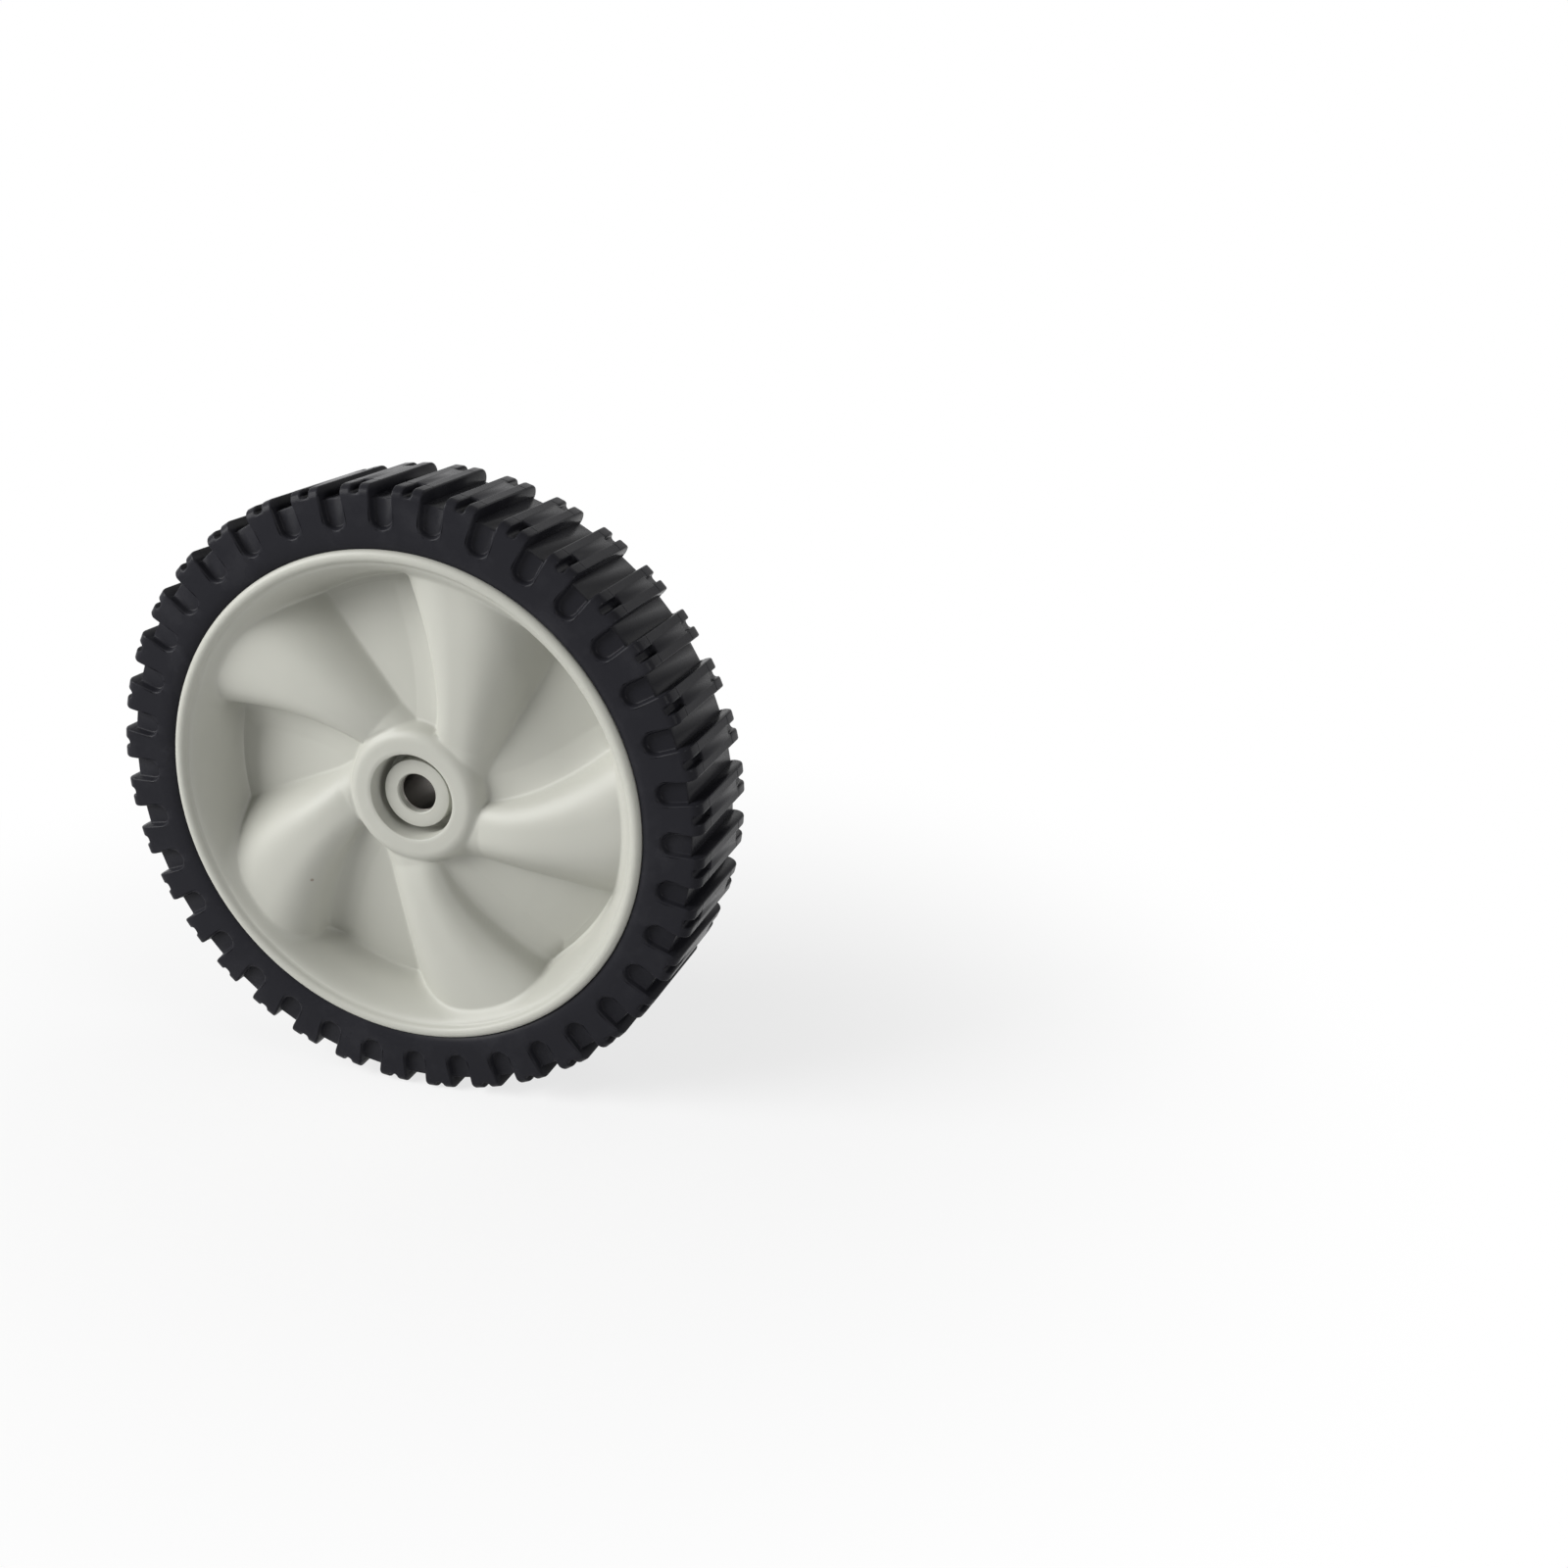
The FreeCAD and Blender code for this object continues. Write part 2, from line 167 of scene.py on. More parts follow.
def makePlastic():
    look = plasticLook
    material, nodes, links, shader = newMaterial("greyPlastic")
    place = addNode(nodes, "ShaderNodeTexCoord")
    cloud = addNode(nodes, "ShaderNodeTexNoise", Scale=look["cloudScale"], Detail=3.0)
    links.new(place.outputs["Object"], cloud.inputs["Vector"])
    tone = addNode(nodes, "ShaderNodeMix", data_type="RGBA")
    tone.inputs[6].default_value = look["shade"]
    tone.inputs[7].default_value = look["colour"]
    links.new(cloud.outputs["Fac"], tone.inputs[0])
    cells = addNode(nodes, "ShaderNodeTexVoronoi", Scale=look["speckCells"])     # a few cells hold a speck
    links.new(place.outputs["Object"], cells.inputs["Vector"])
    near = addNode(nodes, "ShaderNodeMath", operation="LESS_THAN")
    near.inputs[1].default_value = look["speckSize"]
    links.new(cells.outputs["Distance"], near.inputs[0])
    picked = addNode(nodes, "ShaderNodeSeparateColor")
    links.new(cells.outputs["Color"], picked.inputs["Color"])
    few = addNode(nodes, "ShaderNodeMath", operation="GREATER_THAN")
    few.inputs[1].default_value = look["speckFew"]
    links.new(picked.outputs["Red"], few.inputs[0])
    speck = addNode(nodes, "ShaderNodeMath", operation="MULTIPLY")
    links.new(near.outputs[0], speck.inputs[0])
    links.new(few.outputs[0], speck.inputs[1])
    faint = addNode(nodes, "ShaderNodeMath", operation="MULTIPLY")
    faint.inputs[1].default_value = look["speckShare"]
    links.new(speck.outputs[0], faint.inputs[0])
    final = addNode(nodes, "ShaderNodeMix", data_type="RGBA")
    final.inputs[7].default_value = look["speck"]
    links.new(faint.outputs[0], final.inputs[0])
    links.new(tone.outputs[2], final.inputs[6])
    links.new(final.outputs[2], shader.inputs["Base Color"])
    shader.inputs["Specular IOR Level"].default_value = look["specular"]
    addSheen(nodes, links, cloud.outputs["Fac"], shader, look)
    grain = addNode(nodes, "ShaderNodeTexNoise", Scale=look["grainScale"], Detail=2.0)
    links.new(place.outputs["Object"], grain.inputs["Vector"])
    addGrain(nodes, links, grain.outputs["Fac"], shader, look)
    return material


# semi-gloss black rubber of the tyre

rubberLook = {
    "colour": (0.0165, 0.0165, 0.0200, 1), "cloudScale": 60.0,
    "dust": (0.0250, 0.0250, 0.0290, 1), "dustFrom": 0.5, "dustTo": 0.8,
    "ior": 1.13, "roughness": (0.20, 0.32),
    "grain": 0.06, "grainScale": 900.0, "grainHeight": 0.0003,
}


def makeRubber():
    look = rubberLook
    material, nodes, links, shader = newMaterial("blackRubber")
    place = addNode(nodes, "ShaderNodeTexCoord")
    cloud = addNode(nodes, "ShaderNodeTexNoise", Scale=look["cloudScale"], Detail=4.0, Roughness=0.6)
    links.new(place.outputs["Object"], cloud.inputs["Vector"])
    tone = addNode(nodes, "ShaderNodeMix", data_type="RGBA")
    tone.inputs[6].default_value = look["colour"]
    tone.inputs[7].default_value = look["dust"]
    spread = addNode(nodes, "ShaderNodeMapRange")
    spread.inputs["From Min"].default_value = look["dustFrom"]
    spread.inputs["From Max"].default_value = look["dustTo"]
    links.new(cloud.outputs["Fac"], spread.inputs["Value"])
    links.new(spread.outputs["Result"], tone.inputs[0])
    links.new(tone.outputs[2], shader.inputs["Base Color"])
    shader.inputs["IOR"].default_value = look["ior"]
    addSheen(nodes, links, cloud.outputs["Fac"], shader, look)
    grain = addNode(nodes, "ShaderNodeTexNoise", Scale=look["grainScale"], Detail=3.0)
    links.new(place.outputs["Object"], grain.inputs["Vector"])
    addGrain(nodes, links, grain.outputs["Fac"], shader, look)
    return material


# drawn steel of the sleeve, its colour darkened far below bright steel to paint the shade and dark reflection
# inside the bore

steelLookWithPaintedShade = {
    "colour": (0.13, 0.122, 0.112, 1), "roughness": (0.22, 0.38),
    "grain": 0.05, "grainScale": (900.0, 40.0, 900.0), "grainHeight": 0.0001,
}


def makeSteel():
    look = steelLookWithPaintedShade
    material, nodes, links, shader = newMaterial("steelWithPaintedShade")
    # this dark colour is painted shade of the bore, not the steel's own colour
    shader.inputs["Base Color"].default_value = look["colour"]
    shader.inputs["Metallic"].default_value = 1.0
    place = addNode(nodes, "ShaderNodeTexCoord")
    along = addNode(nodes, "ShaderNodeMapping")
    along.inputs["Scale"].default_value = look["grainScale"]
    links.new(place.outputs["Object"], along.inputs["Vector"])
    lines = addNode(nodes, "ShaderNodeTexNoise", Scale=1.0, Detail=3.0)
    links.new(along.outputs["Vector"], lines.inputs["Vector"])
    addSheen(nodes, links, lines.outputs["Fac"], shader, look)
    addGrain(nodes, links, lines.outputs["Fac"], shader, look)
    return material


greyPlastic = makePlastic()
blackRubber = makeRubber()
steelWithPaintedShade = makeSteel()
print("materials made")


# tyre: one lug's sector is cut and then spun round the wheel

tyreShape = {
    "rim": 82.0, "radius": 101.6, "width": 42.0, "bulge": 0.7, "bead": 3.0, "beadEdge": (0.7, 0.6),
    "shoulder": 3.4, "shoulderCuts": 5, "sideCuts": 3,
    "lugs": 36, "grooveAngle": 8.6, "sectorSteps": 8,
    "grooveWidth": 7.0, "grooveDepth": 4.0, "draft": 0.45,
    "slotDepth": 2.2, "slotLength": 13.2, "slotSlope": 0.4, "slotNarrow": 0.35, "slotRound": (0.98, 7),
    "notchWidth": 2.8, "notchDepth": 2.7, "notchLength": 9.0, "notchRound": (0.9, 3),
    "partingPlace": 7.6, "partingRise": 0.18, "partingWidth": 0.5,
    "cutterReach": 3.0, "cutterSide": 4.0, "cutterHalf": 40.0, "cutWeld": 0.03,
    "edge": 0.5, "edgeAngle": 40.0, "edgeFrom": 1.0, "smoothAngle": 38.0,
}


def tyreOutline():
    t = tyreShape
    side, crown, s = -t["bulge"], t["radius"], t["shoulder"]
    out, back = t["beadEdge"]
    front = [(t["rim"], back, 0), (t["rim"] + out, 0.0, 0), (t["rim"] + t["bead"], side, t["sideCuts"])]
    front += arcCorners((crown - s, side + s), s, -90, 0, t["shoulderCuts"])
    ridge, half = t["partingPlace"], t["partingWidth"] / 2
    front += [(crown, ridge - half, 0), (crown + t["partingRise"], ridge, 0), (crown, ridge + half, 0)]
    rear = [(r, t["width"] - d, 0) for r, d, cuts in reversed(front)]
    return front + rear


def boxCutter(bm, low, high):
    # a block between two corners
    made = bmesh.ops.create_cube(bm, size=1.0)["verts"]
    bmesh.ops.scale(bm, vec=[h - l for l, h in zip(low, high)], verts=made)
    bmesh.ops.translate(bm, vec=[(l + h) / 2 for l, h in zip(low, high)], verts=made)
    return made


def blockEdges(made):
    # each edge once, in a fixed order
    return list(dict.fromkeys(e for v in made for e in v.link_edges))


def bevelLow(bm, made, floor, offset, segments):
    # rounds the block's edges that run along the axle at its inner end
    low = [e for e in blockEdges(made)
           if max(v.co.x for v in e.verts) < floor + nearly and abs(e.verts[0].co.y - e.verts[1].co.y) > nearly]
    bevelEdges(bm, low, offset, segments)


def turnOver(bm, verts):
    # from the front sidewall to the rear one
    bmesh.ops.rotate(bm, cent=(0, 0, 0), matrix=Matrix.Rotation(math.pi, 3, "X"), verts=verts)


def crownCutter(bm, angle):
    t = tyreShape
    half, floor, reach = t["grooveWidth"] / 2, t["radius"] - t["grooveDepth"], t["cutterReach"]
    made = boxCutter(bm, (floor, -t["cutterHalf"], -half), (t["radius"] + reach, t["cutterHalf"], half))
    for v in made:      # drafted walls
        if v.co.x > floor + nearly:
            v.co.z += math.copysign(t["draft"] * (t["grooveDepth"] + reach) / t["grooveDepth"], v.co.z)
    turnVerts(bm, made, angle)


def slotCutter(bm, angle, rear):
    t = tyreShape
    half, foot, reach = t["grooveWidth"] / 2, t["radius"] - t["slotLength"], t["cutterReach"]
    outer, centre = frontPlane - t["bulge"], foot + half
    old = set(bm.verts)
    made = boxCutter(bm, (foot, outer - reach, -half), (t["radius"] + reach, outer + t["slotDepth"], half))
    share, segments = t["slotRound"]
    bevelLow(bm, made, foot, half * share, segments)
    made = [v for v in bm.verts if v not in old]
    wider = t["slotSlope"] * (1 + reach / t["slotDepth"])
    for v in made:      # walls slope from the surface down to a narrower floor
        grow = 1 + (wider if v.co.y < outer else -t["slotNarrow"]) / half
        v.co.z *= grow
        if v.co.x < centre:
            v.co.x = centre + (v.co.x - centre) * grow
    if rear:
        turnOver(bm, made)
    turnVerts(bm, made, angle)


def notchCutter(bm, rear):
    t = tyreShape
    half, floor = t["notchWidth"] / 2, t["radius"] - t["notchDepth"]
    old = set(bm.verts)
    made = boxCutter(bm, (floor, frontPlane - t["cutterSide"], -half),
                     (t["radius"] + t["cutterReach"], frontPlane + t["notchLength"], half))
    bevelLow(bm, made, floor, *t["notchRound"])
    if rear:
        turnOver(bm, [v for v in bm.verts if v not in old])


def cutterObject(name, build):
    bm = bmesh.new()
    build(bm)
    bmesh.ops.recalc_face_normals(bm, faces=bm.faces[:])
    mesh = bpy.data.meshes.new(name)
    bm.to_mesh(mesh)
    bm.free()
    cutter = bpy.data.objects.new(name, mesh)
    scene.collection.objects.link(cutter)
    return cutter


def sortedMesh(mesh):
    # in order of place, because the cuts leave vertices and faces in another order each run
    places = [tuple(v.co) for v in mesh.vertices]
    rank = {place: i for i, place in enumerate(sorted(set(places)))}
    loops = []
    for face in mesh.polygons:
        loop = [rank[places[i]] for i in face.vertices]
        first = loop.index(min(loop))
        loops.append(loop[first:] + loop[:first])
    bm = bmesh.new()
    verts = [bm.verts.new(place) for place in rank]
    for loop in sorted(loops):
        bm.faces.new([verts[i] for i in loop])
    return bm


def makeTyre():
    t = tyreShape
    pitch = fullTurn / t["lugs"]
    end = math.degrees(pitch / 2)
    bm = bmesh.new()
    spinLoop(bm, tyreOutline(), t["sectorSteps"], pitch)
    bmesh.ops.holes_fill(bm, edges=[e for e in bm.edges if e.is_boundary])
    bmesh.ops.recalc_face_normals(bm, faces=bm.faces[:])
    mean = sum((v.co for v in bm.verts), Vector()) / len(bm.verts)
    turnVerts(bm, bm.verts[:], -math.degrees(math.atan2(mean.z, mean.x)))
    sector = bpy.data.objects.new("lugSector", bpy.data.meshes.new("lugSector"))
    bm.to_mesh(sector.data)
    bm.free()
    scene.collection.objects.link(sector)

    cutters = [
        cutterObject("crownCuts", lambda b: [crownCutter(b, a) for a in (-end, end)]),
        cutterObject("slotCuts", lambda b: [slotCutter(b, a, r) for a in (-end, end) for r in (False, True)]),
        cutterObject("notchCuts", lambda b: [notchCutter(b, r) for r in (False, True)]),
    ]
    for cutter in cutters:
        cut = sector.modifiers.new(cutter.name, "BOOLEAN")
        cut.operation = "DIFFERENCE"
        cut.solver = "EXACT"
        cut.object = cutter
    cutMesh = bpy.data.meshes.new_from_object(sector.evaluated_get(bpy.context.evaluated_depsgraph_get()))
    bm = sortedMesh(cutMesh)
    for spare in cutters + [sector]:
        bpy.data.objects.remove(spare)
    caps = sideFaces(bm, pitch / 2)
    bmesh.ops.delete(bm, geom=caps, context="FACES_ONLY")
    bmesh.ops.remove_doubles(bm, verts=bm.verts[:], dist=t["cutWeld"])
    print("lug sector cut,", len(bm.faces), "faces,", len(caps), "caps off")
    turnVerts(bm, bm.verts[:], t["grooveAngle"] + end)
    spinCopies(bm, t["lugs"])
    bmesh.ops.remove_doubles(bm, verts=bm.verts[:], dist=nearly)
    bmesh.ops.recalc_face_normals(bm, faces=bm.faces[:])
    sharp = [e for e in bm.edges
             if len(e.link_faces) == 2 and e.calc_face_angle(0.0) > math.radians(t["edgeAngle"])
             and min(math.hypot(v.co.x, v.co.z) for v in e.verts) > t["rim"] + t["edgeFrom"]]
    bevelEdges(bm, sharp, t["edge"], 2)
    return finishMesh(bm, "tyre", blackRubber, t["smoothAngle"], "tyre")


tyre = makeTyre()


# wheel body: a spun section whose face is raised into spokes

bodyShape = {
    "steps": 530, "wall": 2.5, "smoothAngle": 42.0,
    "cuts": {"hub": 18, "panel": 46, "panelEdge": 9, "dish": 22, "lip": 8, "rim": 2, "back": 34},
    "hubRadius": 23.3, "hubFace": 7.1, "hubEdge": 4.5, "hubSide": (0.2, 1.3, 3.0), "hubCutsEnd": 29.0,
    "floor": 14.0, "floorFall": 6.5, "hubFoot": 26.8, "floorRadius": 68.5, "floorBand": (-1.0, 0.7),
    "troughDepth": 22.0, "troughWidth": 2.0, "troughStep": (-0.5, 0.35), "troughSpan": (-1.0, 2.0),
    "rimRadius": 82.0, "rimInner": 78.5, "rimStart": 1.2, "rimEnd": 44.0,
    "lipWidth": 4.0, "lipRise": 1.0, "lipArc": (200, 330), "faceInset": (2.6, 0.3),
    "recess": (11.5, 14.3, 19.0), "bossDepth": 11.1, "bore": 6.6, "bushSeat": (7.9375, 13.6),
    "hubWallEnd": 35.4, "hubInside": 20.3, "behindFace": 9.6, "behindRecess": (16.8, 21.5),
    "rearBoss": (13.9, 45.1),
    "hubBlend": 1.8, "dishBlend": 5.0, "dishCurve": 1.9, "troughBlend": 1.6, "leastBlend": 0.05,
    "backPatch": (1.2, 0.8), "backInset": (0.2, 0.05), "backBand": 4.0, "steepWall": 2.6,
}
# small edges as steps away from a corner: radius, depth, cuts
bodyEdges = {
    "bore": ((0.0, 0.4, 0), (0.4, 0.0, 1)),
    "boss": ((0.4, 0.0, 0), (0.1, 0.1, 0), (0.0, 0.5, 0)),
    "recessFoot": ((0.0, 0.6, 0), (0.5, 0.0, 0)),
    "recess": ((0.0, 0.9, 0), (0.25, 0.28, 0), (0.85, 0.0, 1)),
    "rim": ((0.0, 0.7, 0), (0.25, 0.15, 0), (0.8, 0.0, 0)),
    "hubWall": ((0.0, 0.5, 0), (0.5, 0.0, 0)),
    "hubInside": ((0.4, 0.0, 0), (0.0, 0.4, 0)),
    "behind": ((0.0, 0.6, 0), (0.6, 0.0, 0)),
    "rearBoss": ((0.0, 0.6, 0), (0.2, 0.15, 0), (0.7, 0.0, 1)),
    "seat": ((0.35, 0.0, 0), (0.0, 0.35, 0)),
}
# across a spoke, lengths are from its centre line, negative on the clockwise side
# pairs are at the hub and the rim
spokeShape = {
    "count": 5, "angle": 66.0, "nearest": 12.0, "root": (19.5, 23.5),
    "cwEdge": -12.0, "cwFoot": (-19.0, -26.0), "cwPower": 3.2, "cwEase": 1.3,
    "ccwRoot": 0.8, "ccwSpread": 40.0, "ccwFoot": (9.0, 17.0), "endFoot": 0.4, "endSpan": (-3.0, 4.0),
    "crestDepth": 3.8, "rootDrop": 4.6, "rootFade": 4,
    "domeLow": 0.25, "domeTurn": 0.982, "coveTop": 0.2, "coveCrease": 0.6, "blend": 3.0,
}


def softMin(a, b, blend):
    gap = max(blend - abs(a - b), 0.0) / blend
    return min(a, b) - gap * gap * blend / 4


def smoothStep(low, high, value):
    t = min(1.0, max(0.0, (value - low) / (high - low)))
    return t * t * (3 - 2 * t)


def pastPanel(radius, span):
    # 0 to 1 over a span of radii at the panel's outer edge
    edge = bodyShape["floorRadius"]
    return smoothStep(edge + span[0], edge + span[1], radius)


def floorDepth(radius):
    b = bodyShape
    return b["floor"] + b["floorFall"] * (radius - b["hubFoot"]) / (b["floorRadius"] - b["hubFoot"])


def spokeSection(off, cwRun, half, ccwFoot, rise):
    # clockwise the crest falls to a crease, the other way a dome with a steep side runs out in a cove
    s = spokeShape
    if off < 0:
        return rise * max(0.0, 1 - (-off / cwRun) ** s["cwPower"]) ** s["cwEase"]
    u, turn = off / half * s["domeTurn"], s["domeTurn"]
    edge = math.sqrt(1 - turn * turn)
    curve = math.sqrt(1 - u * u) if u < turn else edge - (u - turn) * turn / edge
    dome = rise * (s["domeLow"] + (1 - s["domeLow"]) * curve)
    t = min(1.0, max(0.0, (off - half) / ccwFoot))
    cove = rise * s["coveTop"] * (s["coveCrease"] * (1 - t) + (1 - s["coveCrease"]) * (1 - t) ** 3)
    return -softMin(-dome, -cove, s["blend"])


def spokeHeight(radius, angle):
    s, b = spokeShape, bodyShape
    pitch = fullTurn / s["count"]
    best = 0.0
    for turn in (-1, 0, 1):
        swing = (angle - math.radians(s["angle"]) + math.pi) % pitch - math.pi % pitch + turn * pitch
        along, across = radius * math.cos(swing), radius * math.sin(swing)
        if along < s["nearest"]:
            continue
        station = max(0.0, (along - b["hubRadius"]) / (b["rimInner"] - b["hubRadius"]))
        fade = max(0.0, 1 - station) ** s["rootFade"]
        ccw = s["ccwRoot"] + s["ccwSpread"] * (station + 2 * station ** 2) / 3
        middle, half = (s["cwEdge"] + ccw) / 2, (ccw - s["cwEdge"]) / 2
        rise = floorDepth(radius) - s["crestDepth"] - s["rootDrop"] * fade
        cwFoot, ccwFoot = [root + (rim - root) * station for root, rim in (s["cwFoot"], s["ccwFoot"])]
        ccwFoot *= 1 + (s["endFoot"] - 1) * pastPanel(radius, s["endSpan"])
        best = max(best, spokeSection(across - middle, middle - cwFoot, half, ccwFoot, rise))
    return best * smoothStep(*s["root"], radius)


def hubDepth(radius):
    # flat face, round edge, then a sloping side
    b = bodyShape
    inset, step, slope = b["hubSide"]
    start, side = b["hubRadius"] - b["hubEdge"], b["hubRadius"] - inset
    if radius <= start:
        return b["hubFace"]
    if radius < side:
        return b["hubFace"] + b["hubEdge"] - math.sqrt(b["hubEdge"] ** 2 - (radius - start) ** 2)
    return b["hubFace"] + b["hubEdge"] - step + (radius - side) * slope


def dishDepth(radius):
    b = bodyShape
    foot = b["floorRadius"] + b["troughWidth"]
    lip = b["rimRadius"] - b["lipWidth"]
    away = (lip - radius) / (lip - foot)
    return b["lipRise"] + (b["troughDepth"] - b["lipRise"]) * (away if away < 0 else away ** b["dishCurve"])


def faceDepth(radius, angle):
    # the frontmost of hub, spokes, panel with its trough and dish wall, with soft joins
    b = bodyShape
    floor = floorDepth(radius)
    panel = floor + (b["troughDepth"] - floor) * pastPanel(radius, b["troughStep"])
    spoke = floor - spokeHeight(radius, angle)
    blend = b["troughBlend"] * pastPanel(radius, b["troughSpan"])
    inside = softMin(panel, spoke, blend) if blend > b["leastBlend"] else min(panel, spoke)
    return softMin(softMin(hubDepth(radius), inside, b["hubBlend"]), dishDepth(radius), b["dishBlend"])


def faceLimits():
    b = bodyShape
    inset, outset = b["faceInset"]
    return b["recess"][1] + inset, b["rimRadius"] - b["lipWidth"] - outset


def bodyOutline():
    b, edges, cuts = bodyShape, bodyEdges, bodyShape["cuts"]
    inner, outer, deep = b["recess"]
    seat, seatFront = b["bushSeat"]
    behind, behindDepth = b["behindRecess"]
    rearBoss, rearEnd = b["rearBoss"]
    bore, hubFace, panel = b["bore"], b["hubFace"], b["floorRadius"]
    faceStart, faceEnd = faceLimits()
    front = edgeCorners(bore, b["bossDepth"], 1, 1, edges["bore"])
    front += edgeCorners(inner, b["bossDepth"], -1, 1, edges["boss"])
    front += edgeCorners(inner, deep, 1, -1, edges["recessFoot"])
    front += edgeCorners(outer, deep, -1, -1, edges["recessFoot"][::-1])
    front += edgeCorners(outer, hubFace, 1, 1, edges["recess"])
    front += [
        (faceStart, hubFace, cuts["hub"]), (b["hubCutsEnd"], 0, cuts["panel"]),
        (panel + b["floorBand"][0], 0, cuts["panelEdge"]), (panel + b["floorBand"][1], 0, cuts["dish"]),
        (faceEnd, 0, 0),
    ]
    lip = b["lipWidth"] / 2
    front += arcCorners((b["rimRadius"] - lip, b["lipRise"]), lip, *b["lipArc"], cuts["lip"])
    dishBack = hubFace + edges["recess"][0][1]       # deeper than any front corner, so face and back stay apart
    rear = [(b["rimRadius"], b["rimStart"], cuts["rim"])]
    rear += edgeCorners(b["rimRadius"], b["rimEnd"], -1, -1, edges["rim"])
    rear += edgeCorners(b["rimInner"], b["rimEnd"], 1, -1, edges["rim"][:0:-1])
    rear += [
        (b["rimInner"], b["rimEnd"] - edges["rim"][0][1], 1), (b["rimInner"], dishBack, cuts["back"]),
        (b["hubRadius"] + nearly, b["floor"] + b["wall"], 0),
    ]
    rear += edgeCorners(b["hubRadius"], b["hubWallEnd"], -1, -1, edges["hubWall"])
    rear += edgeCorners(b["hubInside"], b["hubWallEnd"], 1, -1, edges["hubInside"])
    rear += [(b["hubInside"], b["behindFace"], 0), (behind, b["behindFace"], 0)]
    rear += edgeCorners(behind, behindDepth, -1, -1, edges["behind"])
    rear += [(rearBoss, behindDepth, 0)]
    rear += edgeCorners(rearBoss, rearEnd, -1, -1, edges["rearBoss"])
    rear += edgeCorners(seat, rearEnd, 1, -1, edges["seat"])
    rear += [(seat, seatFront, 0), (bore, seatFront, 0)]
    return front + rear


def backDepth(depthAt, radius, angle):
    # the back follows the mean of a small patch of the face, so its steep sides are even
    b = bodyShape
    out, swing = b["backPatch"]
    patch = [[depthAt(radius + i * out, angle + k * swing / radius) for i in (-1, 0, 1)] for k in range(-2, 3)]
    rows = [sum(row) / 3 for row in patch]
    columns = [sum(column) / 5 for column in zip(*patch)]
    tilt = math.hypot((rows[4] - rows[0]) / (4 * swing), (columns[2] - columns[0]) / (2 * out))
    behind = sum(rows) / 5 + b["wall"] * min(b["steepWall"], math.sqrt(1 + tilt * tilt))
    return min(max(behind, patch[2][1] + b["wall"] / 2), b["troughDepth"] + b["wall"])


def makeWheelBody():
    b = bodyShape
    bm = bmesh.new()
    spinLoop(bm, bodyOutline(), b["steps"])
    bmesh.ops.remove_doubles(bm, verts=bm.verts[:], dist=weld)
    faceStart, faceEnd = faceLimits()
    backStart, backEnd = b["hubRadius"] + b["backInset"][0], b["rimInner"] - b["backInset"][1]
    backFront, backRear = b["backBand"], b["floor"] + b["wall"] + b["backBand"]
    pitch = fullTurn / spokeShape["count"]
    known = {}

    def depthAt(radius, angle):
        key = (round(radius, 2), round(angle % pitch, 4))
        if key not in known:
            known[key] = faceDepth(radius, angle)
        return known[key]

    for v in bm.verts:
        radius, depth, angle = math.hypot(v.co.x, v.co.z), v.co.y - frontPlane, math.atan2(v.co.z, v.co.x)
        if faceStart - nearly < radius < faceEnd + nearly and depth < b["hubFace"] + nearly:
            v.co.y = frontPlane + depthAt(radius, angle)
        elif backStart < radius < backEnd and backFront < depth < backRear:
            v.co.y = frontPlane + backDepth(depthAt, radius, angle)
    return finishMesh(bm, "wheelBody", greyPlastic, b["smoothAngle"], "wheel_body")


wheelBody = makeWheelBody()


# rear of the body: drive gear, ring walls and ribs

gearShape = {
    "module": 2.54, "teeth": 53, "pressure": 20.0, "dedendum": 1.25, "backing": 2.1,
    "rootRound": 0.35, "rootGap": 0.004, "tipRound": 0.25, "tipFlat": 0.8, "flankSteps": 5,
    "front": 21.2, "slant": 0.385, "teethEnd": 36.6, "ringEnd": 43.8, "edge": 0.3, "smoothAngle": 35.0,
}
ringShape = {
    "mid": (37.9, 40.1, 20.2), "edge": (59.5, 61.9, 23.8), "start": 12.0, "sink": 1.4,
    "round": 0.4, "roundPart": 0.3, "steps": 240,
}
ribShape = {
    "hub": {"count": 10, "wall": 1.4, "from": 10.4, "to": 21.8, "front": 20.5, "rear": 34.6, "edge": 0.35},
    "gap": {"count": 20, "wall": 1.3, "from": 71.5, "to": 80.0, "front": 6.0, "rear": 40.5, "edge": 0.35,
            "sink": 2.0},
}


def toothHalf(radius):
    # half a tooth's angle on its involute flank
    g = gearShape
    pressure = math.radians(g["pressure"])
    pitchRadius = g["module"] * g["teeth"] / 2
    local = math.acos(min(1.0, pitchRadius * math.cos(pressure) / radius))
    return math.pi / (2 * g["teeth"]) + (math.tan(local) - local) - (math.tan(pressure) - pressure)


